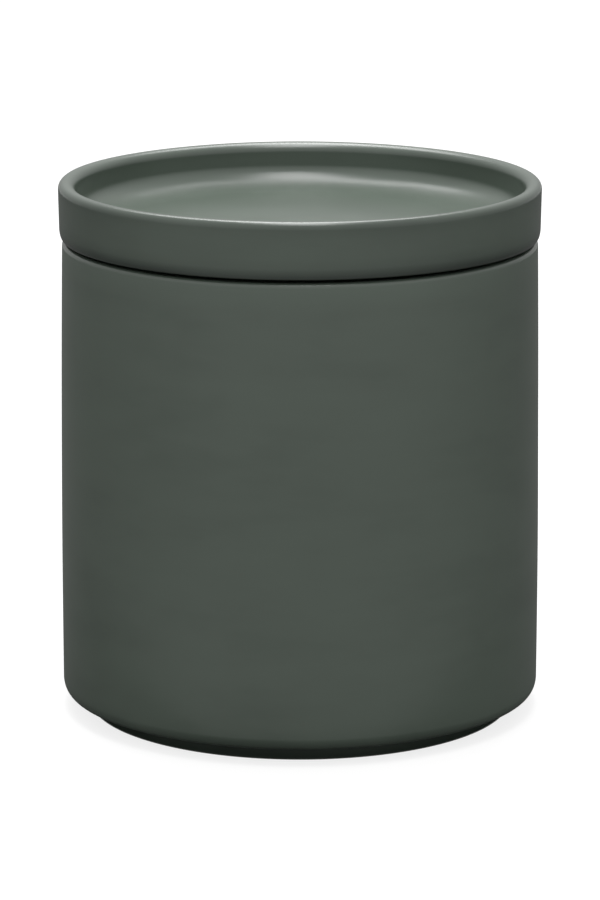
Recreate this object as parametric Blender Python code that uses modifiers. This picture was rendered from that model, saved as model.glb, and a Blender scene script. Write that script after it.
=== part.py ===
"""A lidded storage jar in glazed stoneware, with a tray-topped lid and a silicone seal.

Lengths are in metres and +Z is up. The jar stands on z = 0 with its axis on Z.
Each piece is turned from an outline of (radius, height) points that runs over the
piece's top and down its outer side. The heights in an outline are measured from the
piece's own origin, which lies on the axis at the face that carries the piece.
"""

import math

import bpy

# Jar body, outside
BODY_RADIUS = 0.0500  # half way up the wall
BODY_HEIGHT = 0.0994  # from the table to the rim
RIM_DRAW_IN = 0.00058  # the wall leans in by this much at the rim
HEEL_SWELL = 0.00009  # and swells by this much at the shoulder
RIM_OUTER_EDGE = 0.0010
RIM_INNER_EDGE = 0.0012
SHOULDER_RUN = 0.0015  # the rounding between wall and underside, across
SHOULDER_RISE = 0.0025  # and up

# Jar body, inside and underneath
WALL = 0.0047
FLOOR = 0.0052
INSIDE_CORNER = 0.0060
FOOT_HEIGHT = 0.0035
FOOT_INSET = 0.0056  # from the shoulder to the foot ring's outer side
FOOT_WIDTH = 0.0048
FOOT_EDGE = 0.0004
FOOT_FILLET = 0.0005  # where the foot ring meets the underside
BASE_RECESS = 0.0018
RECESS_FILLET = 0.0010

# Lid, outside
LID_HEIGHT = 0.0117  # from the lid's underside to its lip
LID_OVERHANG = 0.0001  # past the middle of the jar's wall
LID_TAPER = 0.00014  # the lid's wall leans in by this much at its lower edge
LID_LOWER_RUN = 0.0007
LID_LOWER_RISE = 0.0023
LIP_WIDTH = 0.0036
LIP_OUTER_RUN = 0.00135  # from the lip's highest circle out to the wall
LIP_OUTER_FALL = 0.0015
LIP_INNER_FALL = 0.0020  # the lip's rounding on the tray's side, which spans the rest
TRAY_DEPTH = 0.0093
TRAY_COVE_RUN = 0.0090
TRAY_COVE_RISE = 0.0045

# Lid, underneath
LID_PLATE = 0.0034  # thickness between the tray and the hollow in the collar
SEAT_EDGE = 0.0002
COLLAR_WALL = 0.0032
COLLAR_EDGE = 0.0006
COLLAR_FILLET = 0.0020
BEAD_REACH = 0.0013  # the bead at the collar's end that holds the seal on
BEAD_HEIGHT = 0.0014

# Seal
SHADOW_GAP = 0.00065  # dark line between the jar's rim and the lid
FLANGE = 0.00065  # thickness of the flange between rim and lid
FLANGE_INSET = 0.0015  # from the rim's outside to the flange's edge
SLEEVE = 0.0015
SLEEVE_LENGTH = 0.0065
SLEEVE_EDGE = 0.0004
FIN_REACH = 0.0028
FIN_ROOT = 0.0011
FIN_TIP = 0.0007
FIN_RISE = 0.0006  # the fins point up by this much at their tips
FIN_HEIGHT_SHARES = (0.32, 0.74)  # of the sleeve's length, from its top down

# Running clearance between neighbouring pieces
CLEARANCE = 0.0003

# Turning
TURN_STEPS = 64
TURN_MERGE = 0.00001
SHARP_ANGLE = math.radians(32.0)
WALL_STEPS = 5
ROUND_STEPS = 6
EDGE_STEPS = 4
QUARTER = math.pi / 2

# Finishes: linear colour and roughness
GLAZE_COLOUR = (0.072, 0.086, 0.074, 1.0)
GLAZE_ROUGHNESS = 0.38
SILICONE_COLOUR = (0.012, 0.013, 0.012, 1.0)
SILICONE_ROUGHNESS = 0.60

# Radii that the pieces share
RIM_RADIUS = BODY_RADIUS - RIM_DRAW_IN
HEEL_RADIUS = BODY_RADIUS + HEEL_SWELL
BORE_RADIUS = BODY_RADIUS - WALL
FIN_RADIUS = BORE_RADIUS - CLEARANCE
SLEEVE_RADIUS = FIN_RADIUS - FIN_REACH
SLEEVE_BORE = SLEEVE_RADIUS - SLEEVE
COLLAR_RADIUS = SLEEVE_BORE - CLEARANCE
FLANGE_RADIUS = RIM_RADIUS - FLANGE_INSET

# Places of the lid and the seal on the jar, and of the seal in the lid's own heights
LID_SEAT = BODY_HEIGHT + SHADOW_GAP
SEAL_SEAT = BODY_HEIGHT + CLEARANCE
SEAL_IN_LID = SEAL_SEAT - LID_SEAT


def arc(radius, height, run, rise, start, end, steps):
    """Points along an elliptical arc.

    The centre lies at the given radius and height, run and rise are the two
    half-widths, and the angles are counted from the outward direction towards up.
    """
    angles = [start + (end - start) * step / steps for step in range(steps + 1)]
    return [(radius + run * math.cos(a), height + rise * math.sin(a)) for a in angles]


def jar_wall(top, bottom):
    """Points down the jar's outside: a soft swell through rim, middle and heel."""
    swell = BODY_RADIUS - (RIM_RADIUS + HEEL_RADIUS) / 2
    points = []
    for step in range(1, WALL_STEPS + 1):
        share = step / WALL_STEPS
        straight = RIM_RADIUS + (HEEL_RADIUS - RIM_RADIUS) * share
        bulge = swell * 4 * share * (1 - share)
        points.append((straight + bulge, top + (bottom - top) * share))
    return points


def jar_outline():
    """Outline of the body: inner floor, bore, rim, wall, shoulder, foot ring and base."""
    inner_floor = BASE_RECESS + FLOOR
    foot_radius = HEEL_RADIUS - FOOT_INSET
    foot_bore = foot_radius - FOOT_WIDTH
    shoulder_top = FOOT_HEIGHT + SHOULDER_RISE
    rim_edge = BODY_HEIGHT - RIM_OUTER_EDGE
    points = [(0, inner_floor)]
    points += arc(BORE_RADIUS - INSIDE_CORNER, inner_floor + INSIDE_CORNER,
                  INSIDE_CORNER, INSIDE_CORNER, -QUARTER, 0, ROUND_STEPS)
    points += arc(BORE_RADIUS + RIM_INNER_EDGE, BODY_HEIGHT - RIM_INNER_EDGE,
                  RIM_INNER_EDGE, RIM_INNER_EDGE, 2 * QUARTER, QUARTER, EDGE_STEPS)
    points += arc(RIM_RADIUS - RIM_OUTER_EDGE, rim_edge,
                  RIM_OUTER_EDGE, RIM_OUTER_EDGE, QUARTER, 0, EDGE_STEPS)
    points += jar_wall(rim_edge, shoulder_top)
    points += arc(HEEL_RADIUS - SHOULDER_RUN, shoulder_top,
                  SHOULDER_RUN, SHOULDER_RISE, 0, -QUARTER, ROUND_STEPS)[1:]
    points += arc(foot_radius + FOOT_FILLET, FOOT_HEIGHT - FOOT_FILLET,
                  FOOT_FILLET, FOOT_FILLET, QUARTER, 2 * QUARTER, EDGE_STEPS)
    points += arc(foot_radius - FOOT_EDGE, FOOT_EDGE,
                  FOOT_EDGE, FOOT_EDGE, 0, -QUARTER, EDGE_STEPS)
    points += arc(foot_bore + FOOT_EDGE, FOOT_EDGE,
                  FOOT_EDGE, FOOT_EDGE, -QUARTER, -2 * QUARTER, EDGE_STEPS)
    points += arc(foot_bore - RECESS_FILLET, BASE_RECESS - RECESS_FILLET,
                  RECESS_FILLET, RECESS_FILLET, 0, QUARTER, EDGE_STEPS)
    points.append((0, BASE_RECESS))
    return points


def lid_outline():
    """Outline of the lid: tray, lip, wall, seat for the flange, collar with its bead."""
    lid_radius = BODY_RADIUS + LID_OVERHANG
    lower_radius = lid_radius - LID_TAPER
    tray_radius = lid_radius - LIP_WIDTH
    tray_floor = LID_HEIGHT - TRAY_DEPTH
    seat_radius = FLANGE_RADIUS + CLEARANCE
    seat_ceiling = SEAL_IN_LID + FLANGE + CLEARANCE
    bead_radius = COLLAR_RADIUS + BEAD_REACH
    bead_top = SEAL_IN_LID - SLEEVE_LENGTH - CLEARANCE
    collar_end = bead_top - BEAD_HEIGHT
    collar_bore = COLLAR_RADIUS - COLLAR_WALL
    hollow_ceiling = tray_floor - LID_PLATE
    crest_radius = lid_radius - LIP_OUTER_RUN
    points = [(0, tray_floor)]
    points += arc(tray_radius - TRAY_COVE_RUN, tray_floor + TRAY_COVE_RISE,
                  TRAY_COVE_RUN, TRAY_COVE_RISE, -QUARTER, 0, ROUND_STEPS)
    points += arc(crest_radius, LID_HEIGHT - LIP_INNER_FALL,
                  crest_radius - tray_radius, LIP_INNER_FALL, 2 * QUARTER, QUARTER, ROUND_STEPS)
    points += arc(crest_radius, LID_HEIGHT - LIP_OUTER_FALL,
                  LIP_OUTER_RUN, LIP_OUTER_FALL, QUARTER, 0, ROUND_STEPS)[1:]
    points += arc(lower_radius - LID_LOWER_RUN, LID_LOWER_RISE,
                  LID_LOWER_RUN, LID_LOWER_RISE, 0, -QUARTER, ROUND_STEPS)
    points += arc(seat_radius + SEAT_EDGE, SEAT_EDGE,
                  SEAT_EDGE, SEAT_EDGE, -QUARTER, -2 * QUARTER, EDGE_STEPS)
    points += [(seat_radius, seat_ceiling), (COLLAR_RADIUS, seat_ceiling)]
    points.append((COLLAR_RADIUS, bead_top))
    points.append((bead_radius - COLLAR_EDGE, bead_top))
    points += arc(bead_radius - COLLAR_EDGE, collar_end + COLLAR_EDGE,
                  COLLAR_EDGE, COLLAR_EDGE, 0, -QUARTER, EDGE_STEPS)
    points += arc(collar_bore + COLLAR_EDGE, collar_end + COLLAR_EDGE,
                  COLLAR_EDGE, COLLAR_EDGE, -QUARTER, -2 * QUARTER, EDGE_STEPS)
    points += arc(collar_bore - COLLAR_FILLET, hollow_ceiling - COLLAR_FILLET,
                  COLLAR_FILLET, COLLAR_FILLET, 0, QUARTER, EDGE_STEPS)
    points.append((0, hollow_ceiling))
    return points


def fin_outline(root_top):
    """Outline of one fin, from its upper root round the tip to its lower root."""
    half_tip = FIN_TIP / 2
    points = [(SLEEVE_RADIUS, root_top)]
    points += arc(FIN_RADIUS - half_tip, root_top + FIN_RISE - half_tip,
                  half_tip, half_tip, QUARTER, -QUARTER, EDGE_STEPS)
    points.append((SLEEVE_RADIUS, root_top - FIN_ROOT))
    return points


def seal_outline():
    """Closed outline of the seal: flange, sleeve and the fins that meet the bore."""
    half_flange = FLANGE / 2
    points = [(SLEEVE_BORE, FLANGE)]
    points += arc(FLANGE_RADIUS - half_flange, half_flange,
                  half_flange, half_flange, QUARTER, -QUARTER, EDGE_STEPS)
    points.append((SLEEVE_RADIUS, 0))
    for share in FIN_HEIGHT_SHARES:
        points += fin_outline(-SLEEVE_LENGTH * share)
    points += arc(SLEEVE_RADIUS - SLEEVE_EDGE, SLEEVE_EDGE - SLEEVE_LENGTH,
                  SLEEVE_EDGE, SLEEVE_EDGE, 0, -QUARTER, EDGE_STEPS)
    points.append((SLEEVE_BORE, -SLEEVE_LENGTH))
    return points


def finish(name, colour, roughness):
    """A material with one colour and roughness."""
    material = bpy.data.materials.new(name)
    material.use_nodes = True
    shader = material.node_tree.nodes["Principled BSDF"]
    shader.inputs["Base Color"].default_value = colour
    shader.inputs["Roughness"].default_value = roughness
    shader.inputs["Metallic"].default_value = 0.0
    material.diffuse_color = colour
    return material


def turned(name, outline, closed, seat, material, collection):
    """Turns an outline about Z and adds it to the collection at its seat's height.

    An open outline starts and ends on the axis. A closed one makes a ring.
    """
    count = len(outline)
    edges = [(i, i + 1) for i in range(count - 1)]
    if closed:
        edges.append((count - 1, 0))
    profile = bpy.data.meshes.new(name + "_outline")
    profile.from_pydata([(radius, 0, height) for radius, height in outline], edges, [])
    piece = bpy.data.objects.new(name, profile)
    collection.objects.link(piece)
    piece.location.z = seat
    screw = piece.modifiers.new("Turn", "SCREW")
    screw.steps = TURN_STEPS
    screw.render_steps = TURN_STEPS
    screw.use_merge_vertices = True
    screw.merge_threshold = TURN_MERGE
    graph = bpy.context.evaluated_depsgraph_get()
    solid = bpy.data.meshes.new_from_object(piece.evaluated_get(graph))
    solid.name = name
    solid.shade_smooth()
    solid.set_sharp_from_angle(angle=SHARP_ANGLE)
    solid.materials.append(material)
    piece.modifiers.clear()
    piece.data = solid
    bpy.data.meshes.remove(profile)
    return piece


def clear_scene():
    """Removes every object that is already in the file."""
    for old in list(bpy.data.objects):
        bpy.data.objects.remove(old, do_unlink=True)


def main():
    """Builds the jar, its lid and the lid's seal, closed."""
    clear_scene()
    collection = bpy.data.collections.new("lidded_storage_jar")
    bpy.context.scene.collection.children.link(collection)
    glaze = finish("glazed_stoneware", GLAZE_COLOUR, GLAZE_ROUGHNESS)
    silicone = finish("silicone_rubber", SILICONE_COLOUR, SILICONE_ROUGHNESS)
    turned("jar_body", jar_outline(), False, 0, glaze, collection)
    turned("lid", lid_outline(), False, LID_SEAT, glaze, collection)
    turned("lid_seal", seal_outline(), True, SEAL_SEAT, silicone, collection)


main()
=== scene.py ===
"""The looks of a lidded storage jar in satin-glazed stoneware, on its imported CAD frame.

The jar, its tray-topped lid and the lid's silicone seal are turned again here from fine
outlines, so that their roundings catch the light as a cast and glazed piece's do. Each
replaces the CAD solid that it is turned after and rides on the same body. The outer sizes
are read from the frame. The others are fields of the piece that they belong to.

Lengths are in metres and +Z is up. The jar stands on z = 0 with its axis on Z.
"""

import logging
import math
from dataclasses import dataclass, field
from enum import Enum

import bpy
import numpy as np
from bpy.types import ID, Material, Mesh, Node, NodeSocket, NodeTree, Object
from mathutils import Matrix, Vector


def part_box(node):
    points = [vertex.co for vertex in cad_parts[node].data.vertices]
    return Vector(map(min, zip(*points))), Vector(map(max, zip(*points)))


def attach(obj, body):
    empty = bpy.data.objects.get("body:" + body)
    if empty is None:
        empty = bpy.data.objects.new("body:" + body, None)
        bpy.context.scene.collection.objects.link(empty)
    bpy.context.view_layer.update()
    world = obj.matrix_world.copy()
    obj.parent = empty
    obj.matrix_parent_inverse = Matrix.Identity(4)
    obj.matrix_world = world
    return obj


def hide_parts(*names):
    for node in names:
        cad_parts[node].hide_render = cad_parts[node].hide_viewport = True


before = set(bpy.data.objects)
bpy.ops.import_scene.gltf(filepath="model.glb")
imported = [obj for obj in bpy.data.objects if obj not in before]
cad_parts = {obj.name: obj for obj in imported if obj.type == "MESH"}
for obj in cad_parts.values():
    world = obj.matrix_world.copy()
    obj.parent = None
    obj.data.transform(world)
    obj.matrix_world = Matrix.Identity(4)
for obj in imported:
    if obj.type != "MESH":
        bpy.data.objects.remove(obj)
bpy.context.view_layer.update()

MM = 0.001
QUARTER = math.pi / 2
FULL_TURN = 2 * math.pi

# Attributes that a mesh carries for its finish to read
# The first carries the glaze's thinning at bends, with painted shade and painted highlight added to
# it
DRAW_AND_PAINTED_LIGHT = "glaze_draw_and_painted_light"
BARE = "bare_clay"
COVER = "net_cover"

# How thick glaze lies where it lies evenly, between 0 for thin and 1 for thick
EVEN = 0.5

# A Mix node's sockets, by number because their names repeat
SHARE = 0
COLOUR_A, COLOUR_B, COLOUR_OUT = 6, 7, 2
VALUE_A, VALUE_B, VALUE_OUT = 2, 3, 0

log = logging.getLogger("jar")


class Body(Enum):
    """The bodies that the pieces ride on."""

    JAR = "jar"
    SEAL = "seal"
    LID = "lid"


class Slot(Enum):
    """The record's material slots."""

    JAR_GLAZE = "jar_glaze"
    LID_GLAZE = "lid_glaze"
    SILICONE = "seal_silicone"


def linear(hex_colour: str) -> tuple[float, float, float, float]:
    """Turns an sRGB colour into the linear one that shaders take.

    Args:
        hex_colour: The colour as "#RRGGBB".

    Returns:
        Linear red, green and blue, and an alpha of 1.
    """
    shares = [int(hex_colour[i : i + 2], 16) / 255 for i in (1, 3, 5)]
    red, green, blue = (
        s / 12.92 if s <= 0.04045 else ((s + 0.055) / 1.055) ** 2.4 for s in shares
    )
    return red, green, blue, 1.0


def per_metre(size_mm: float) -> float:
    """Gives the texture scale of a pattern that repeats about every size_mm millimetres."""
    return 1000 / size_mm


def add_object(name: str, data: ID) -> Object:
    """Adds an object to the scene.

    Args:
        name: The object's name.
        data: Its mesh, lamp or camera.

    Returns:
        The new object.
    """
    thing = bpy.data.objects.new(name, data)
    bpy.context.scene.collection.objects.link(thing)
    return thing


def add_node(
    tree: NodeTree, kind: str, settings: dict | None = None, inputs: dict | None = None
) -> Node:
    """Adds a node with its settings and links.

    Args:
        tree: The tree that the node goes into.
        kind: The node's Blender type name.
        settings: The node's own properties by name.
        inputs: Values, or sockets to link from, by the input's name or number.

    Returns:
        The new node.
    """
    node = tree.nodes.new(kind)
    for name, value in (settings or {}).items():
        setattr(node, name, value)
    for key, value in (inputs or {}).items():
        if isinstance(value, NodeSocket):
            tree.links.new(value, node.inputs[key])
        else:
            node.inputs[key].default_value = value
    return node


@dataclass(frozen=True)
class Finish:
    """What a surface is made of and how it was made.

    Attributes:
        name: The material's name.
    """

    name: str

    def shader(self, tree: NodeTree) -> NodeSocket:
        """Adds the finish's nodes.

        Args:
            tree: The material's tree.

        Returns:
            The shader of the whole surface.
        """
        raise NotImplementedError

    def material(self) -> Material:
        """Makes the finish as a material.

        Returns:
            The material.
        """
        material = bpy.data.materials.new(self.name)
        material.use_nodes = True
        tree = material.node_tree
        tree.nodes.clear()
        add_node(tree, "ShaderNodeOutputMaterial", inputs={"Surface": self.shader(tree)})
        return material


@dataclass(frozen=True)
class SatinGlaze(Finish):
    """A satin stoneware glaze, dipped and fired, over a dark stoneware body.

    A glaze of this kind is glass full of fine crystals. It scatters light under a skin
    that mirrors softly, so highlights are broad, and faint clouds and drawn-out streaks
    show where it lies thicker. It draws thin over a sharp edge and pools in a crease.
    Where it is wiped off, the dry and grainy clay shows. Its thin colour is also used as
    painted shade, and its thick colour as a painted highlight, where a piece marks them.

    Attributes:
        glaze: Its colour on a flat wall.
        thick: Its colour where it has pooled, also used as a painted highlight under the jar's rim.
        thin: Its colour where it lies thin, and the dark clay shows through. It is also painted
            shade: on the downward heel and the lid's lower edge along with the thinning there,
            and alone on the foot ring.
        clay: The bare clay's colour.
        grog: The colour of the coarse grains in the clay.
        roughness: The glaze's roughness where it lies evenly.
        roughness_spread: How much rougher it is where thick, and smoother where thin.
        clay_roughness: The bare clay's roughness.
        ior: The glaze's index of refraction, which is that of glass.
        cloud_mm: The width of the clouds.
        cloud_squeeze: How much wider than high they are.
        cloud_weight: How much they change the thickness.
        streak_mm: The height of the streaks that run around the piece.
        streak_squeeze: How much longer than high they are.
        streak_weight: How much they change the thickness.
        peel_mm: The size of the dimples in its skin. Real ones are near 0.4 mm across,
            and are drawn coarser so that they show at all.
        peel_depth_mm: The dimples' depth.
        grog_mm: The size of the grains in the clay.
        grog_depth_mm: How far the grains stand out.
        ragged: How far the grains break up the edge of the bare clay.
        edge_half: Half the range over which that edge fades.
        shift: Moves the clouds and streaks, so that two pieces differ.
    """

    glaze: str = "#444D45"
    thick: str = "#4D584F"
    thin: str = "#222B24"
    clay: str = "#3A3733"
    grog: str = "#57514A"
    roughness: float = 0.30
    roughness_spread: float = 0.02
    clay_roughness: float = 0.86
    ior: float = 1.50
    cloud_mm: float = 34.0
    cloud_squeeze: float = 1.6
    cloud_weight: float = 0.35
    streak_mm: float = 5.0
    streak_squeeze: float = 4.0
    streak_weight: float = 0.20
    peel_mm: float = 1.1
    peel_depth_mm: float = 0.0015
    grog_mm: float = 0.5
    grog_depth_mm: float = 0.04
    ragged: float = 0.5
    edge_half: float = 0.1
    shift: float = 0.0

    def thickness(self, tree: NodeTree, place: NodeSocket) -> NodeSocket:
        """Adds the nodes for how thick the glaze lies, with painted shade and highlight added.

        Args:
            tree: The material's tree.
            place: The place on the piece.

        Returns:
            0 where it has drawn thin or is darkened as painted shade, up to 1 where it is
            thick or lightened as a painted highlight.
        """
        along = 1 / self.streak_squeeze
        patterns = (
            (self.cloud_mm, (1, 1, self.cloud_squeeze), self.cloud_weight),
            (self.streak_mm, (along, along, 1), self.streak_weight),
        )
        total = add_node(tree, "ShaderNodeMapRange", inputs={
            "Value": add_node(tree, "ShaderNodeAttribute", {"attribute_name": DRAW_AND_PAINTED_LIGHT}).outputs["Fac"],
            "From Min": -1.0, "From Max": 1.0, "To Min": 1.0, "To Max": 0.0,
        }).outputs["Result"]
        for size, squeeze, weight in patterns:
            vector = add_node(tree, "ShaderNodeMapping", inputs={
                "Vector": place, "Location": (self.shift, 0, 0), "Scale": squeeze,
            }).outputs["Vector"]
            noise = add_node(tree, "ShaderNodeTexNoise", inputs={
                "Vector": vector, "Scale": per_metre(size), "Detail": 3.0, "Roughness": 0.55,
            }).outputs["Fac"]
            centred = add_node(tree, "ShaderNodeMath", {"operation": "MULTIPLY_ADD"}, {
                0: noise, 1: weight, 2: -weight / 2,
            }).outputs["Value"]
            total = add_node(tree, "ShaderNodeMath", {"operation": "ADD", "use_clamp": True}, {
                0: total, 1: centred,
            }).outputs["Value"]
        return total

    def bare(self, tree: NodeTree, grains: NodeSocket) -> NodeSocket:
        """Adds the nodes for where the clay is bare, with the sponge's uneven edge.

        Args:
            tree: The material's tree.
            grains: The grains in the clay, which break the edge up.

        Returns:
            0 under glaze and 1 on bare clay.
        """
        wiped = add_node(tree, "ShaderNodeAttribute", {"attribute_name": BARE}).outputs["Fac"]
        edge = add_node(tree, "ShaderNodeMath", {"operation": "MULTIPLY_ADD"}, {
            0: grains, 1: self.ragged, 2: wiped,
        }).outputs["Value"]
        # The edge lies where the clay is half wiped, and where the grains are middling
        middle = (1 + self.ragged) / 2
        return add_node(tree, "ShaderNodeMapRange", {"interpolation_type": "SMOOTHSTEP"}, {
            "Value": edge, "From Min": middle - self.edge_half, "From Max": middle + self.edge_half,
        }).outputs["Result"]

    def colour(
        self, tree: NodeTree, thickness: NodeSocket, bare: NodeSocket, grains: NodeSocket
    ) -> NodeSocket:
        """Adds the nodes for the colour of glaze and clay.

        Args:
            tree: The material's tree.
            thickness: How thick the glaze lies.
            bare: Where the clay is bare.
            grains: The grains in the clay.

        Returns:
            The colour.
        """
        # Thin, even and thick glaze colours; the thin one also paints shade and the thick one a
        # highlight
        colour = linear(self.thin)
        for start, end, beyond in ((0.0, EVEN, self.glaze), (EVEN, 1.0, self.thick)):
            part = add_node(tree, "ShaderNodeMapRange", inputs={
                "Value": thickness, "From Min": start, "From Max": end,
            }).outputs["Result"]
            colour = add_node(tree, "ShaderNodeMix", {"data_type": "RGBA"}, {
                SHARE: part, COLOUR_A: colour, COLOUR_B: linear(beyond),
            }).outputs[COLOUR_OUT]
        clay = add_node(tree, "ShaderNodeMix", {"data_type": "RGBA"}, {
            SHARE: grains, COLOUR_A: linear(self.clay), COLOUR_B: linear(self.grog),
        }).outputs[COLOUR_OUT]
        return add_node(tree, "ShaderNodeMix", {"data_type": "RGBA"}, {
            SHARE: bare, COLOUR_A: colour, COLOUR_B: clay,
        }).outputs[COLOUR_OUT]

    def normal(
        self, tree: NodeTree, place: NodeSocket, bare: NodeSocket, grains: NodeSocket
    ) -> NodeSocket:
        """Adds the nodes for the dimples in the glaze and the grains that stand out of the clay.

        Args:
            tree: The material's tree.
            place: The place on the piece.
            bare: Where the clay is bare.
            grains: The grains in the clay.

        Returns:
            The surface's normal.
        """
        dimples = add_node(tree, "ShaderNodeTexNoise", inputs={
            "Vector": place, "Scale": per_metre(self.peel_mm), "Detail": 1.0,
        }).outputs["Fac"]
        skin, grit = (
            add_node(tree, "ShaderNodeMath", {"operation": "MULTIPLY"}, {
                0: pattern, 1: depth,
            }).outputs["Value"]
            for pattern, depth in ((dimples, self.peel_depth_mm), (grains, self.grog_depth_mm))
        )
        relief = add_node(tree, "ShaderNodeMix", {"data_type": "FLOAT"}, {
            SHARE: bare, VALUE_A: skin, VALUE_B: grit,
        }).outputs[VALUE_OUT]
        return add_node(tree, "ShaderNodeBump", inputs={
            "Height": relief, "Distance": MM,
        }).outputs["Normal"]

    def shader(self, tree: NodeTree) -> NodeSocket:
        """Adds the glaze, with the bare clay that shows where it is wiped off.

        Args:
            tree: The material's tree.

        Returns:
            The shader.
        """
        place = add_node(tree, "ShaderNodeTexCoord").outputs["Object"]
        grains = add_node(tree, "ShaderNodeTexNoise", inputs={
            "Vector": place, "Scale": per_metre(self.grog_mm), "Detail": 2.0,
        }).outputs["Fac"]
        thickness, bare = self.thickness(tree, place), self.bare(tree, grains)
        satin = add_node(tree, "ShaderNodeMapRange", inputs={
            "Value": thickness, "To Min": self.roughness - self.roughness_spread,
            "To Max": self.roughness + self.roughness_spread,
        }).outputs["Result"]
        roughness = add_node(tree, "ShaderNodeMix", {"data_type": "FLOAT"}, {
            SHARE: bare, VALUE_A: satin, VALUE_B: self.clay_roughness,
        }).outputs[VALUE_OUT]
        return add_node(tree, "ShaderNodeBsdfPrincipled", inputs={
            "Base Color": self.colour(tree, thickness, bare, grains), "Roughness": roughness,
            "IOR": self.ior, "Normal": self.normal(tree, place, bare, grains),
        }).outputs["BSDF"]


@dataclass(frozen=True)
class MouldedSilicone(Finish):
    """Silicone rubber, moulded black and matt.

    It takes no polish, so what little it mirrors is spread wide, and a faint bloom
    lightens it in patches.

    Attributes:
        colour: Its colour.
        bloom: Its colour where it has bloomed.
        roughness: Its roughness.
        ior: Silicone's index of refraction.
        bloom_mm: The size of the patches of bloom.
        skin_mm: The size of the mould's blasted texture. It is finer on a real one,
            near 0.1 mm, and is drawn coarser so that it shows.
        skin_depth_mm: The texture's depth.
    """

    name: str = "moulded_silicone"
    colour: str = "#171817"
    bloom: str = "#242524"
    roughness: float = 0.58
    ior: float = 1.41
    bloom_mm: float = 9.0
    skin_mm: float = 0.35
    skin_depth_mm: float = 0.006

    def shader(self, tree: NodeTree) -> NodeSocket:
        """Adds the silicone.

        Args:
            tree: The material's tree.

        Returns:
            The shader.
        """
        place = add_node(tree, "ShaderNodeTexCoord").outputs["Object"]
        patches, skin = (
            add_node(tree, "ShaderNodeTexNoise", inputs={
                "Vector": place, "Scale": per_metre(size), "Detail": 3.0,
            }).outputs["Fac"]
            for size in (self.bloom_mm, self.skin_mm)
        )
        colour = add_node(tree, "ShaderNodeMix", {"data_type": "RGBA"}, {
            SHARE: patches, COLOUR_A: linear(self.colour), COLOUR_B: linear(self.bloom),
        }).outputs[COLOUR_OUT]
        relief = add_node(tree, "ShaderNodeMath", {"operation": "MULTIPLY"}, {
            0: skin, 1: self.skin_depth_mm,
        }).outputs["Value"]
        normal = add_node(tree, "ShaderNodeBump", inputs={
            "Height": relief, "Distance": MM,
        }).outputs["Normal"]
        return add_node(tree, "ShaderNodeBsdfPrincipled", inputs={
            "Base Color": colour, "Roughness": self.roughness, "IOR": self.ior,
            "Normal": normal,
        }).outputs["BSDF"]


@dataclass(frozen=True)
class SeamlessPaper(Finish):
    """Background paper, which is matt and has no grain that shows.

    The camera and mirrors see it as white, with the shadow that lies on it.

    Attributes:
        colour: The colour that it throws light back with, kept below white so that the
            jar's underside and foot stay dark.
        lift: The light that is added to it for camera and mirrors, which makes it white.
    """

    name: str = "seamless_paper"
    colour: str = "#747474"
    lift: float = 0.80

    def shader(self, tree: NodeTree) -> NodeSocket:
        """Adds the paper.

        Args:
            tree: The material's tree.

        Returns:
            The shader.
        """
        path = add_node(tree, "ShaderNodeLightPath").outputs
        seen = path["Is Camera Ray"]
        for kind in ("Is Glossy Ray", "Is Transmission Ray"):
            seen = add_node(tree, "ShaderNodeMath", {"operation": "MAXIMUM"}, {
                0: seen, 1: path[kind],
            }).outputs["Value"]
        lift = add_node(tree, "ShaderNodeMath", {"operation": "MULTIPLY"}, {
            0: seen, 1: self.lift,
        }).outputs["Value"]
        return add_node(tree, "ShaderNodeBsdfPrincipled", inputs={
            "Base Color": linear(self.colour), "Roughness": 1.0, "Specular IOR Level": 0.0,
            "Emission Color": linear("#FFFFFF"), "Emission Strength": lift,
        }).outputs["BSDF"]


@dataclass(frozen=True)
class BlackNet(Finish):
    """Black net, the sheer woven cloth that photographers hold light back with.

    Its threads are matt and dark, and one sees through between them, so it darkens what
    lies behind it by as much as its layers cover. The threads are too fine to show, and
    are drawn as an even share of cover.

    Attributes:
        thread: The threads' colour.
    """

    name: str = "black_net"
    thread: str = "#484848"

    def shader(self, tree: NodeTree) -> NodeSocket:
        """Adds the net.

        Args:
            tree: The material's tree.

        Returns:
            The shader.
        """
        cover = add_node(tree, "ShaderNodeAttribute", {"attribute_name": COVER}).outputs["Fac"]
        return add_node(tree, "ShaderNodeBsdfPrincipled", inputs={
            "Base Color": linear(self.thread), "Roughness": 1.0, "Specular IOR Level": 0.0,
            "Alpha": cover,
        }).outputs["BSDF"]


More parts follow.
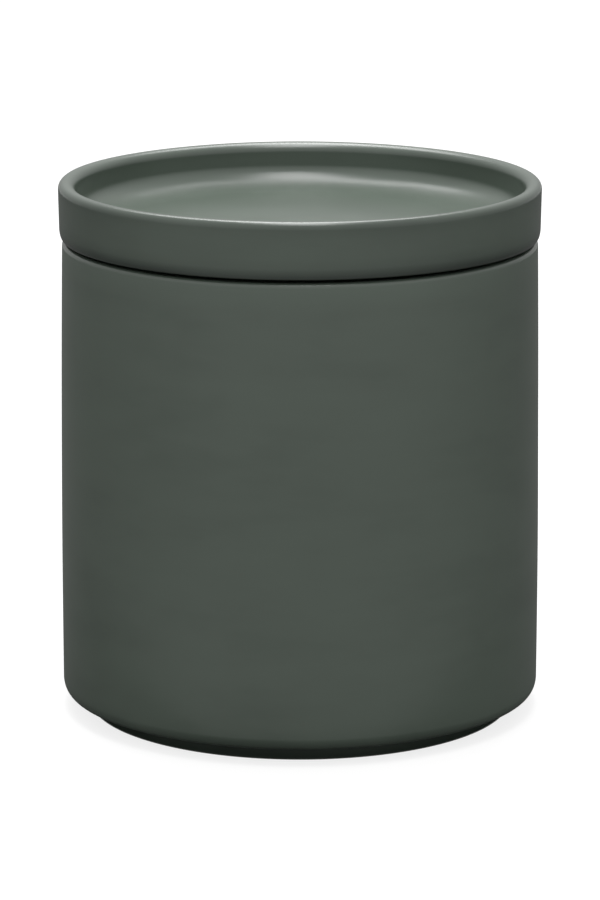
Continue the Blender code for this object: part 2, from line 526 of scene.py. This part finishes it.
@dataclass
class Outline:
    """The section of a turned piece, drawn over its top and down its outer side.

    Attributes:
        points: The (radius, height) points drawn so far.
        support: How far from a corner a straight stretch keeps a point of its own, so
            that the rounding beside it shades by itself.
        longest: The longest step of a straight stretch.
        finest: The step along a rounding.
        fewest: The fewest steps of a rounding.
        most: The most steps of a rounding.
    """

    points: list[tuple[float, float]] = field(default_factory=list)
    support: float = 0.00012
    longest: float = 0.0024
    finest: float = 0.00014
    fewest: int = 6
    most: int = 28

    @property
    def same(self) -> float:
        """The distance within which two points count as one."""
        return self.finest / 4

    @property
    def places(self) -> np.ndarray:
        """How far along the outline each point lies."""
        return np.concatenate([[0], np.cumsum(np.hypot(*np.diff(self.points, axis=0).T))])

    def line(self, radius: float, height: float) -> "Outline":
        """Draws a straight stretch.

        Args:
            radius: The distance of its end from the axis.
            height: The height of its end.

        Returns:
            The outline itself, so that calls can follow each other.
        """
        if not self.points:
            self.points.append((radius, height))
            return self
        start = np.array(self.points[-1])
        way = np.array((radius, height)) - start
        length = float(np.hypot(*way))
        if length < self.same:
            return self
        # A stretch with no room for a point beside each corner is one step
        if length > 3 * self.support:
            count = math.ceil((length - 2 * self.support) / self.longest)
            marks = np.linspace(self.support, length - self.support, count + 1)
            self.points += [tuple(start + way * mark / length) for mark in marks]
        self.points.append((radius, height))
        return self

    def arc(
        self, radius: float, height: float, run: float, rise: float, start: float, end: float
    ) -> "Outline":
        """Draws an elliptical rounding, after a straight stretch to where it starts.

        Args:
            radius: The centre's distance from the axis.
            height: The centre's height.
            run: Half the ellipse's width.
            rise: Half the ellipse's height.
            start: The angle that it starts at, from outwards towards up.
            end: The angle that it ends at.

        Returns:
            The outline itself.
        """
        self.line(radius + run * math.cos(start), height + rise * math.sin(start))
        steps = math.ceil(max(run, rise) * abs(end - start) / self.finest)
        steps = min(max(steps, self.fewest), self.most)
        for angle in np.linspace(start, end, steps + 1)[1:]:
            self.points.append((radius + run * math.cos(angle), height + rise * math.sin(angle)))
        return self

    def draw(self, reach: float = 0.0005, full: float = 0.0006) -> np.ndarray:
        """Says how a glaze lies along the outline, from how sharply it bends there.

        Args:
            reach: The length over which a bend tells on the glaze beside it.
            full: The radius of a rounding that draws the glaze as thin as it gets.

        Returns:
            For each point 1 on a sharp edge, where the glaze has drawn thin, -1 in a
            crease, where it has pooled, and 0 on the flat.
        """
        place, step = self.places, np.diff(self.points, axis=0)
        bend = np.zeros(len(place))
        bend[1:-1] = -np.diff(np.unwrap(np.arctan2(step[:, 1], step[:, 0])))
        # Each bend tells on what lies beside it as a bell curve does
        spread = np.exp(-0.5 * ((place[:, None] - place) / reach) ** 2)
        return np.clip(spread @ bend / (reach * math.sqrt(FULL_TURN)) * full, -1, 1)


@dataclass(frozen=True)
class Unevenness:
    """The slight waves that casting and firing leave in a wall.

    Attributes:
        height: The waves' height, well within the gap between two pieces.
        sink_share: How far they lie inside the nominal surface, as a share of their height.
        length: The waves' least length along the outline.
        longest_share: Their greatest length, as a share of the least.
        fewest: The fewest waves in one turn.
        most: The most waves in one turn.
        waves: How many waves are added up.
        quiet: The radius under which the waves fade out towards the axis.
        seed: The number that the waves' places are drawn from.
    """

    height: float = 0.00003
    sink_share: float = 1.3
    length: float = 0.030
    longest_share: float = 3.0
    fewest: int = 2
    most: int = 6
    waves: int = 7
    quiet: float = 0.012
    seed: int = 3

    def at(self, angle: np.ndarray, place: np.ndarray, radius: np.ndarray) -> np.ndarray:
        """Gives how far the surface stands out.

        Args:
            angle: Angles about the axis, in a row.
            place: Distances along the outline, in a column.
            radius: Distances from the axis, in a column.

        Returns:
            The distances outwards, a row for each place.
        """
        draws = np.random.default_rng(self.seed)
        total = np.zeros(np.broadcast(angle, place).shape)
        for _ in range(self.waves):
            order = draws.integers(self.fewest, self.most + 1)
            pitch = FULL_TURN / (self.length * draws.uniform(1, self.longest_share))
            turn, shift = draws.uniform(0, FULL_TURN, 2)
            total += np.sin(order * angle + turn) * np.cos(pitch * place + shift)
        fade = np.minimum(1, radius / self.quiet)
        return (total / math.sqrt(self.waves) - self.sink_share) * fade * self.height


@dataclass
class TurnedPiece:
    """A piece turned about the jar's axis from an outline.

    Attributes:
        name: The piece's name.
        node: The CAD node that it replaces.
        body: The body that it rides on.
        slot: The record's slot for its finish. It is not used.
        finish: What it is dressed in.
        closed: Whether the outline is a closed one, as a ring's is.
        steps: The number of faces in one turn.
        sharp: The angle from which an edge is shaded sharp.
        uneven: The waves in its walls.
        ground: How far up the waves fade from the end that it was ground flat on.
    """

    name: str
    node: str
    body: Body
    slot: Slot
    finish: Finish
    closed: bool = False
    steps: int = 256
    sharp: float = math.radians(30)
    uneven: Unevenness = Unevenness()
    ground: float = 0.0020

    @property
    def low(self) -> Vector:
        """The CAD node's lowest corner."""
        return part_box(self.node)[0]

    @property
    def high(self) -> Vector:
        """The CAD node's highest corner."""
        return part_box(self.node)[1]

    def outline(self) -> Outline:
        """Draws the piece's section in the frame's heights.

        Returns:
            The outline.
        """
        raise NotImplementedError

    def marks(self, outline: Outline) -> dict[str, np.ndarray]:
        """Gives what the finish reads from the mesh, which is nothing on a plain piece.

        Args:
            outline: The piece's outline.

        Returns:
            A value for each point of the outline, by the attribute's name.
        """
        return {}

    def corners(self, outline: Outline) -> np.ndarray:
        """Turns the outline's points about the axis and adds the waves.

        Args:
            outline: The piece's outline.

        Returns:
            A row of corners for each point.
        """
        points, place = np.array(outline.points), outline.places
        ahead = np.gradient(points, place, axis=0)
        ahead /= np.hypot(*ahead.T)[:, None]
        angle = np.arange(self.steps) * FULL_TURN / self.steps
        wave = self.uneven.at(angle[None, :], place[:, None], points[:, :1])
        wave *= np.clip((points[:, 1:] - self.low.z) / self.ground, 0, 1)
        radius = points[:, :1] - ahead[:, 1:] * wave
        height = points[:, 1:] + ahead[:, :1] * wave
        return np.stack([radius * np.cos(angle), radius * np.sin(angle), height], axis=2)

    def quads(self, outline: Outline) -> np.ndarray:
        """Numbers the corners of the faces between each point's row and the next.

        Args:
            outline: The piece's outline.

        Returns:
            Four corners' numbers for each face. On the axis a whole row is one corner.
        """
        points = np.array(outline.points)
        index = np.arange(len(points) * self.steps).reshape(len(points), self.steps)
        on_axis = points[:, 0] < outline.same
        index[on_axis] = index[on_axis, :1]
        lower = np.roll(index, -1, axis=0) if self.closed else index[1:]
        upper = index if self.closed else index[:-1]
        faces = [upper, lower, np.roll(lower, -1, axis=1), np.roll(upper, -1, axis=1)]
        return np.stack(faces, axis=2).reshape(-1, 4)

    def mesh(self) -> Mesh:
        """Makes the piece's mesh.

        Returns:
            The mesh, with what its finish reads as attributes.
        """
        outline = self.outline()
        used, renumbered = np.unique(self.quads(outline), return_inverse=True)
        # A face at the axis names one corner twice, and keeps three
        faces = [list(dict.fromkeys(quad)) for quad in renumbered.reshape(-1, 4).tolist()]
        mesh = bpy.data.meshes.new(self.name)
        mesh.from_pydata(self.corners(outline).reshape(-1, 3)[used], [], faces)
        for attribute, values in self.marks(outline).items():
            spread = np.repeat(values, self.steps)[used].astype(np.float32)
            mesh.attributes.new(attribute, "FLOAT", "POINT").data.foreach_set("value", spread)
        mesh.shade_smooth()
        mesh.set_sharp_from_angle(angle=self.sharp)
        return mesh

    def build(self) -> Object:
        """Makes the piece, dresses it and sets it on its body.

        Returns:
            The piece.
        """
        piece = add_object(self.name, self.mesh())
        piece.data.materials.append(self.finish.material())
        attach(piece, self.body.value)
        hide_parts(self.node)
        return piece


@dataclass
class GlazedPiece(TurnedPiece):
    """A glazed piece, wiped bare at the end that it stands on in the kiln.

    Attributes:
        wiped: How far up from that end it is wiped bare.
        wiped_fade: The height over which bare clay gives way to glaze there.
    """

    wiped: float = 0.0002
    wiped_fade: float = 0.0002

    def painted_shade_and_highlight(self, points: np.ndarray) -> np.ndarray:
        """Says where the glaze is darkened as painted shade and lightened as a painted highlight,
        beyond its bends.

        Args:
            points: The outline's points.

        Returns:
            Up to 1 where painted shade darkens it and down to -1 where a painted highlight lightens
            it, for each point.
        """
        raise NotImplementedError

    def marks(self, outline: Outline) -> dict[str, np.ndarray]:
        """Gives how the glaze has drawn, with painted shade and highlight, and where the clay is
        bare.

        Args:
            outline: The piece's outline.

        Returns:
            For each point 1 where the glaze is thin or painted as shade, -1 where it is thick or
            painted as a highlight, and 0 where it lies evenly, and 1 on bare clay and 0 under
            glaze.
        """
        points = np.array(outline.points)
        edge = self.low.z + self.wiped
        return {
            DRAW_AND_PAINTED_LIGHT: np.clip(outline.draw() + self.painted_shade_and_highlight(points), -1, 1),
            BARE: np.clip((edge - points[:, 1]) / self.wiped_fade + 0.5, 0, 1),
        }


@dataclass
class JarBody(GlazedPiece):
    """The jar: a straight wall on a foot ring, cast in one piece.

    It is glazed inside and out. Foot ring and base take the thin glaze's dark colour as
    painted shade, and the ring's standing face is wiped bare, so that it doesn't stick to the
    kiln shelf. The radius of the heel, which is the wall's bottom, and the height of the rim
    come from the frame.

    Attributes:
        middle_radius: The wall's radius halfway up.
        rim_radius: Its radius at the rim.
        rim_outer_edge: The radius of the rim's outer rounding.
        rim_inner_edge: The radius of its inner rounding.
        wall: The wall's thickness halfway up.
        floor: The floor's thickness.
        inside_corner: The radius of the rounding between floor and bore.
        shoulder_run: How far in the rounding at the heel reaches.
        shoulder_rise: How far up it reaches.
        foot_height: The foot ring's height.
        foot_inset: How far in from the heel it stands.
        foot_width: Its width.
        foot_edge: The radius of the roundings of its standing face.
        foot_fillet: The radius of the crease above it.
        base_recess: How high the base lies inside it.
        recess_fillet: The radius of the crease around the base.
        painted_shade_fade: The height over which the painted shade on the foot ring fades out at
            its top.
        painted_highlight_depth: How far under the rim the painted highlight lies, a lighter band
            in the thick glaze's colour.
        painted_highlight_spread: How far it fades above and below that.
        painted_highlight_share: How light it is, where 1 is as light as thick glaze gets.
    """

    name: str = "jar_body_glazed"
    node: str = "jar_body"
    body: Body = Body.JAR
    slot: Slot = Slot.JAR_GLAZE
    finish: Finish = SatinGlaze("jar_satin_glaze")
    middle_radius: float = 0.0500
    rim_radius: float = 0.04942
    rim_outer_edge: float = 0.0010
    rim_inner_edge: float = 0.0012
    wall: float = 0.0047
    floor: float = 0.0052
    inside_corner: float = 0.0060
    shoulder_run: float = 0.0015
    shoulder_rise: float = 0.0025
    foot_height: float = 0.0035
    foot_inset: float = 0.0056
    foot_width: float = 0.0048
    foot_edge: float = 0.0004
    foot_fillet: float = 0.0005
    base_recess: float = 0.0018
    recess_fillet: float = 0.0010
    painted_shade_fade: float = 0.0006
    painted_highlight_depth: float = 0.0018
    painted_highlight_spread: float = 0.0014
    painted_highlight_share: float = 0.9

    def outline(self) -> Outline:
        """Draws the inner floor, bore, rim, wall, shoulder, foot ring and base.

        Returns:
            The outline.
        """
        heel, rim = self.high.x, self.high.z
        bore = self.middle_radius - self.wall
        inner_floor = self.base_recess + self.floor
        foot = heel - self.foot_inset
        foot_bore = foot - self.foot_width
        shoulder_top = self.foot_height + self.shoulder_rise
        line = Outline().line(0, inner_floor)
        corner = self.inside_corner
        line.arc(bore - corner, inner_floor + corner, corner, corner, -QUARTER, 0)
        edge = self.rim_inner_edge
        line.arc(bore + edge, rim - edge, edge, edge, 2 * QUARTER, QUARTER)
        edge = self.rim_outer_edge
        line.arc(self.rim_radius - edge, rim - edge, edge, edge, QUARTER, 0)
        self.swell(line, rim - edge, shoulder_top)
        line.arc(heel - self.shoulder_run, shoulder_top, self.shoulder_run, self.shoulder_rise,
                 0, -QUARTER)
        edge = self.foot_fillet
        line.arc(foot + edge, self.foot_height - edge, edge, edge, QUARTER, 2 * QUARTER)
        edge = self.foot_edge
        line.arc(foot - edge, edge, edge, edge, 0, -QUARTER)
        line.arc(foot_bore + edge, edge, edge, edge, -QUARTER, -2 * QUARTER)
        edge = self.recess_fillet
        line.arc(foot_bore - edge, self.base_recess - edge, edge, edge, 0, QUARTER)
        return line.line(0, self.base_recess)

    def swell(self, line: Outline, top: float, bottom: float) -> None:
        """Draws the wall as a parabola through its radii at rim, middle and heel.

        Args:
            line: The outline that the wall is added to.
            top: The height of its top.
            bottom: The height of its bottom.
        """
        heel = self.high.x
        bulge = 4 * (self.middle_radius - (self.rim_radius + heel) / 2)
        count = math.ceil((top - bottom) / line.longest)
        for share in np.linspace(0, 1, count + 1)[1:]:
            radius = self.rim_radius + (heel - self.rim_radius) * share
            height = top + (bottom - top) * share
            line.points.append((radius + bulge * share * (1 - share), height))

    def painted_shade_and_highlight(self, points: np.ndarray) -> np.ndarray:
        """Paints shade on the foot ring and base, and a lighter band under the rim as a painted
        highlight.

        Args:
            points: The outline's points.

        Returns:
            1 as painted shade on the foot ring and under the jar, and down to -1 along the painted
            highlight under the rim.
        """
        # Painted shade: the foot ring and base take the thin glaze's dark colour, fading out at the
        # ring's top
        foot = np.clip((self.foot_height - points[:, 1]) / self.painted_shade_fade, 0, 1)
        depth = self.high.z - points[:, 1]
        # Painted highlight: a lighter band of thick glaze colour just under the rim, on the outer
        # wall
        roll = self.painted_highlight_share * np.exp(-(((depth - self.painted_highlight_depth) / self.painted_highlight_spread) ** 2))
        return foot - roll * (points[:, 0] > self.rim_radius - self.rim_outer_edge)


@dataclass
class Lid(GlazedPiece):
    """The lid: a shallow tray with a rounded lip, and a collar below that holds the seal.

    It stands on its collar in the kiln. It is glazed and fired apart from the jar, and came
    out a little darker. Its radius, the lip's height and the height of the collar's end come
    from the frame.

    Attributes:
        height: The lid's height from its lower edge to the top of the lip.
        taper: How much its radius lessens down the wall.
        lower_run: How far in the rounding of its lower edge reaches.
        lower_rise: How far up it reaches.
        lip_width: The lip's width.
        lip_outer_run: How far in the lip's outer rounding reaches.
        lip_outer_fall: How far down it reaches.
        lip_inner_fall: How far down the lip's inner rounding reaches.
        tray_depth: The depth of the tray's floor under the lip.
        tray_cove_run: How far in the cove at the foot of the lip reaches.
        tray_cove_rise: How far up it reaches.
        plate: The thickness under the tray's floor.
        seat_radius: The outer radius of the seat that the seal's flange lies in.
        seat_ceiling: The seat's depth.
        seat_edge: The radius of the rounding at its outer edge.
        collar_radius: The collar's outer radius.
        collar_wall: Its wall's thickness.
        collar_edge: The radius of the roundings at its end.
        collar_fillet: The radius of the crease between its bore and the plate.
        bead_reach: How far the bead at its end stands out.
        bead_height: The bead's height.
        painted_shade_rise: How far up from the lower edge the painted shade reaches.
        painted_shade_share: How dark it is at that edge, where 1 is as dark as thin glaze gets.
    """

    name: str = "lid_glazed"
    node: str = "lid"
    body: Body = Body.LID
    slot: Slot = Slot.LID_GLAZE
    finish: Finish = SatinGlaze("lid_satin_glaze", glaze="#404941", shift=0.3)
    uneven: Unevenness = Unevenness(seed=8)
    wiped: float = 0.0005
    wiped_fade: float = 0.0003
    height: float = 0.0117
    taper: float = 0.00014
    lower_run: float = 0.0007
    lower_rise: float = 0.0023
    lip_width: float = 0.0036
    lip_outer_run: float = 0.00135
    lip_outer_fall: float = 0.0015
    lip_inner_fall: float = 0.0020
    tray_depth: float = 0.0093
    tray_cove_run: float = 0.0090
    tray_cove_rise: float = 0.0045
    plate: float = 0.0034
    seat_radius: float = 0.04822
    seat_ceiling: float = 0.0006
    seat_edge: float = 0.0002
    collar_radius: float = 0.0404
    collar_wall: float = 0.0032
    collar_edge: float = 0.0006
    collar_fillet: float = 0.0020
    bead_reach: float = 0.0013
    bead_height: float = 0.0014
    painted_shade_rise: float = 0.0032
    painted_shade_share: float = 0.85

    def outline(self) -> Outline:
        """Draws the tray, lip, wall, seat for the flange, and collar with its bead.

        Returns:
            The outline.
        """
        radius, lip, end = self.high.x, self.high.z, self.low.z
        underside = lip - self.height
        lower_radius = radius - self.taper
        tray_radius = radius - self.lip_width
        tray_floor = lip - self.tray_depth
        ceiling = underside + self.seat_ceiling
        bead = self.collar_radius + self.bead_reach
        bead_top = end + self.bead_height
        collar_bore = self.collar_radius - self.collar_wall
        hollow = tray_floor - self.plate
        line = Outline().line(0, tray_floor)
        run, rise = self.tray_cove_run, self.tray_cove_rise
        line.arc(tray_radius - run, tray_floor + rise, run, rise, -QUARTER, 0)
        run, fall = self.lip_width - self.lip_outer_run, self.lip_inner_fall
        line.arc(tray_radius + run, lip - fall, run, fall, 2 * QUARTER, QUARTER)
        run, fall = self.lip_outer_run, self.lip_outer_fall
        line.arc(radius - run, lip - fall, run, fall, QUARTER, 0)
        run, rise = self.lower_run, self.lower_rise
        line.arc(lower_radius - run, underside + rise, run, rise, 0, -QUARTER)
        edge = self.seat_edge
        line.arc(self.seat_radius + edge, underside + edge, edge, edge, -QUARTER, -2 * QUARTER)
        line.line(self.seat_radius, ceiling)
        line.line(self.collar_radius, ceiling)
        line.line(self.collar_radius, bead_top)
        edge = self.collar_edge
        line.line(bead - edge, bead_top)
        line.arc(bead - edge, end + edge, edge, edge, 0, -QUARTER)
        line.arc(collar_bore + edge, end + edge, edge, edge, -QUARTER, -2 * QUARTER)
        edge = self.collar_fillet
        line.arc(collar_bore - edge, hollow - edge, edge, edge, 0, QUARTER)
        return line.line(0, hollow)

    def painted_shade_and_highlight(self, points: np.ndarray) -> np.ndarray:
        """Darkens the glaze towards the lower edge as painted shade, where the lid's rounding faces
        down.

        Args:
            points: The outline's points.

        Returns:
            Painted shade, up to 1 at the lower edge, and 0 on the rest.
        """
        rise = points[:, 1] - (self.high.z - self.height)
        # Painted shade on the lower rounding, which faces down, fading out up the wall
        thin = self.painted_shade_share * np.clip(1 - rise / self.painted_shade_rise, 0, 1)
        return thin * (points[:, 0] > self.seat_radius)


@dataclass
class LidSeal(TurnedPiece):
    """The seal: a thin flange and a sleeve with two fins, moulded in one piece.

    The flange's radius, its top and the sleeve's end come from the frame.

    Attributes:
        finest: The step along a rounding.
        flange: The flange's thickness.
        sleeve_radius: The sleeve's outer radius.
        sleeve_bore: Its inner radius.
        sleeve_edge: The radius of the rounding at its lower outer edge.
        fin_radius: The fins' outer radius.
        fin_root: A fin's thickness at the sleeve.
        fin_tip: Its thickness at the tip.
        fin_rise: How far its upper side rises from the sleeve to the tip.
        fin_shares: How far down the sleeve each fin stands, as a share of its height.
    """

    name: str = "lid_seal_silicone"
    node: str = "lid_seal"
    body: Body = Body.SEAL
    slot: Slot = Slot.SILICONE
    finish: Finish = MouldedSilicone()
    closed: bool = True
    uneven: Unevenness = Unevenness(height=0)
    finest: float = 0.00010
    flange: float = 0.00065
    sleeve_radius: float = 0.0422
    sleeve_bore: float = 0.0407
    sleeve_edge: float = 0.0004
    fin_radius: float = 0.0450
    fin_root: float = 0.0011
    fin_tip: float = 0.0007
    fin_rise: float = 0.0006
    fin_shares: tuple[float, ...] = (0.32, 0.74)

    def outline(self) -> Outline:
        """Draws the flange, the sleeve and the fins, round to the start.

        Returns:
            The closed outline, whose last point stands before its first.
        """
        flange_radius, end = self.high.x, self.low.z
        seat = self.high.z - self.flange
        half = self.flange / 2
        line = Outline(finest=self.finest).line(self.sleeve_bore, seat + self.flange)
        line.arc(flange_radius - half, seat + half, half, half, QUARTER, -QUARTER)
        line.line(self.sleeve_radius, seat)
        tip = self.fin_tip / 2
        for share in self.fin_shares:
            root = seat - (seat - end) * share
            line.line(self.sleeve_radius, root)
            line.arc(self.fin_radius - tip, root + self.fin_rise - tip, tip, tip,
                     QUARTER, -QUARTER)
            line.line(self.sleeve_radius, root - self.fin_root)
        edge = self.sleeve_edge
        line.arc(self.sleeve_radius - edge, end + edge, edge, edge, 0, -QUARTER)
        line.line(self.sleeve_bore, end)
        line.line(self.sleeve_bore, seat + self.flange)
        line.points.pop()
        return line


@dataclass(frozen=True)
class Softbox:
    """A lamp behind a rectangle of white cloth.

    Attributes:
        name: The lamp's name.
        azimuth: Where it stands, in degrees from the camera's side towards +X.
        elevation: How high it stands, in degrees above the horizon.
        distance: How far from the jar it stands.
        width: The cloth's width.
        height: The cloth's height.
        radiance: How bright the cloth is, where 1 shows as white.
    """

    name: str
    azimuth: float
    elevation: float
    distance: float
    width: float
    height: float
    radiance: float

    def build(self, target: Vector) -> None:
        """Sets the lamp up, turned to the jar.

        Args:
            target: The point that it faces.
        """
        turn, tilt = math.radians(self.azimuth), math.radians(self.elevation)
        way = Vector((
            math.sin(turn) * math.cos(tilt), -math.cos(turn) * math.cos(tilt), math.sin(tilt)
        ))
        data = bpy.data.lights.new(self.name, "AREA")
        data.shape = "RECTANGLE"
        data.size, data.size_y = self.width, self.height
        # A square metre of cloth that shows as white gives pi watts
        data.energy = self.radiance * math.pi * self.width * self.height
        lamp = add_object(self.name, data)
        lamp.location = target + way * self.distance
        lamp.rotation_euler = way.to_track_quat("Z", "Y").to_euler()


@dataclass
class Flag:
    """Black net on the floor around the jar, in layers that thicken towards the back.

    It keeps the white floor out of the jar's mirrored sides and foot, so that they stay
    dark against it. Each strip of the jar's wall mirrors the floor along a line that leans
    back, and the net is cut along these lines, so that the strip is darkened evenly. Only
    mirrors see the net.

    Attributes:
        name: The net's name.
        jar_radius: The radius of the wall that mirrors the net.
        foot_radius: The radius that the net starts at, under the jar.
        near_front: How far out in front it covers fully.
        near_side: How far out at the sides and behind it covers fully.
        ring_shares: The radii of its other rings as shares of how far it covers fully.
        start: The direction from which the others thicken, in degrees from the camera's side.
        fade: Over how many degrees they thicken.
        front_cover: How much they cover in front.
        back_cover: How much they cover at the back.
        clear: The net's height above the floor.
        steps: The number of strips on either side.
    """

    name: str = "net_flag"
    jar_radius: float = 0.0500
    foot_radius: float = 0.0446
    near_front: float = 0.062
    near_side: float = 0.120
    ring_shares: tuple[float, ...] = (1.2, 2.0, 4.0, 12.0)
    start: float = 35.0
    fade: float = 100.0
    front_cover: float = 0.55
    back_cover: float = 0.985
    clear: float = 0.0002
    steps: int = 48

    def corners(self) -> tuple[list[tuple[float, float, float]], list[float]]:
        """Places the net's corners, ring after ring on one side and then on the other.

        Returns:
            The corners, and how much the net covers at each.
        """
        # A strip of wall mirrors the floor at twice its own angle from the camera's side
        strip = np.linspace(0, 90, self.steps + 1)
        share = np.clip((2 * strip - self.start) / self.fade, 0, 1)
        share = share**2 * (3 - 2 * share)
        near = self.near_front + (self.near_side - self.near_front) * share
        others = self.front_cover + (self.back_cover - self.front_cover) * share
        full = np.ones(len(strip))
        rings = [(self.foot_radius * full, near, full), (near, near, full)]
        rings += [(near * k, near * k, others) for k in self.ring_shares]
        corners, covers = [], []
        for side in (1, -1):
            for radius, seen_at, cover in rings:
                # The mirrored line starts at the wall, so it crosses the ring short of that
                lean = np.arcsin(self.jar_radius * np.sin(np.radians(strip)) / seen_at)
                angle = np.append(np.radians(2 * strip) - lean, math.pi)
                radius, cover = np.append(radius, radius[-1]), np.append(cover, cover[-1])
                corners += [
                    (side * r * math.sin(a), -r * math.cos(a), self.clear)
                    for r, a in zip(radius, angle)
                ]
                covers += cover.tolist()
        return corners, covers

    def build(self) -> None:
        """Lays the net."""
        corners, covers = self.corners()
        index = np.arange(len(corners)).reshape(2, -1, self.steps + 2)
        quads = np.stack([
            index[:, :-1, :-1], index[:, :-1, 1:], index[:, 1:, 1:], index[:, 1:, :-1],
        ], axis=3)
        mesh = bpy.data.meshes.new(self.name)
        mesh.from_pydata(corners, [], quads.reshape(-1, 4).tolist())
        mesh.attributes.new(COVER, "FLOAT", "POINT").data.foreach_set("value", covers)
        mesh.materials.append(BlackNet().material())
        flag = add_object(self.name, mesh)
        flag.visible_camera = False
        flag.visible_diffuse = False
        flag.visible_shadow = False
        flag.visible_transmission = False


@dataclass
class Studio:
    """A pale seamless floor, soft lamps, a black net and the camera.

    Attributes:
        pitch: How far the camera looks down, in degrees.
        distance: From the camera to the point that it looks at.
        look_at: The height of that point on the jar's axis.
        lens_mm: The lens, on a sensor 36 mm long.
        floor_size: The floor's length and width.
        air_front: How bright the room is on the camera's side, at the horizon.
        air_back: How bright it is behind the jar.
        air_top: How bright it is overhead.
        front_share: How far forward air_front is reached, as a share of the way out.
        back_share: How far back air_back is reached.
        top_share: How far up air_top is reached.
        softboxes: The lamps.
    """

    pitch: float = 13.211
    distance: float = 0.94668
    look_at: float = 0.054237
    lens_mm: float = 180.42
    floor_size: float = 6.0
    air_front: float = 1.02
    air_back: float = 0.5
    air_top: float = 1.28
    front_share: float = 0.7
    back_share: float = 0.4
    top_share: float = 0.75
    softboxes: tuple[Softbox, ...] = (
        Softbox("top_softbox", azimuth=187, elevation=88, distance=1.0,
                width=0.31, height=1.10, radiance=8.6),
        Softbox("back_softbox", azimuth=187, elevation=59, distance=1.2,
                width=0.90, height=0.50, radiance=6.5),
    )

    @property
    def target(self) -> Vector:
        """The point that the camera and the lamps face."""
        return Vector((0, 0, self.look_at))

    def camera(self) -> None:
        """Sets the camera up."""
        pitch = math.radians(self.pitch)
        back = Vector((0, -math.cos(pitch), math.sin(pitch)))
        data = bpy.data.cameras.new("camera")
        data.lens = self.lens_mm
        camera = add_object("camera", data)
        camera.location = self.target + back * self.distance
        camera.rotation_euler = back.to_track_quat("Z", "Y").to_euler()
        bpy.context.scene.camera = camera

    def floor(self) -> None:
        """Lays the floor."""
        half = self.floor_size / 2
        mesh = bpy.data.meshes.new("floor")
        mesh.from_pydata(
            [(-half, -half, 0), (half, -half, 0), (half, half, 0), (-half, half, 0)], [],
            [(0, 1, 2, 3)],
        )
        mesh.materials.append(SeamlessPaper().material())
        add_object("floor", mesh)

    def world(self) -> None:
        """Sets the soft light from all sides."""
        world = bpy.data.worlds.new("studio_air")
        world.use_nodes = True
        tree = world.node_tree
        tree.nodes.clear()
        way = add_node(tree, "ShaderNodeTexCoord").outputs["Generated"]
        way = add_node(tree, "ShaderNodeSeparateXYZ", inputs={"Vector": way}).outputs
        around = add_node(tree, "ShaderNodeMapRange", {"interpolation_type": "SMOOTHSTEP"}, {
            "Value": way["Y"], "From Min": -self.front_share, "From Max": self.back_share,
            "To Min": self.air_front, "To Max": self.air_back,
        }).outputs["Result"]
        strength = add_node(tree, "ShaderNodeMapRange", {"interpolation_type": "SMOOTHSTEP"}, {
            "Value": way["Z"], "From Min": 0.0, "From Max": self.top_share,
            "To Min": around, "To Max": self.air_top,
        }).outputs["Result"]
        air = add_node(tree, "ShaderNodeBackground", inputs={
            "Color": linear("#FFFFFF"), "Strength": strength,
        }).outputs["Background"]
        add_node(tree, "ShaderNodeOutputWorld", inputs={"Surface": air})
        bpy.context.scene.world = world

    def build(self) -> None:
        """Sets the whole studio up."""
        self.camera()
        self.floor()
        self.world()
        Flag().build()
        for softbox in self.softboxes:
            softbox.build(self.target)
        bpy.context.scene.view_settings.view_transform = "Standard"


def main() -> None:
    """Builds the jar, its seal and its lid, and the studio that they stand in."""
    logging.basicConfig(level=logging.INFO, format="%(name)s: %(message)s")
    for part in (JarBody(), LidSeal(), Lid()):
        piece = part.build()
        log.info("%s: %d faces, %s", piece.name, len(piece.data.polygons), part.finish.name)
    studio = Studio()
    studio.build()
    log.info("studio: %d softboxes", len(studio.softboxes))


if __name__ == "__main__":
    main()
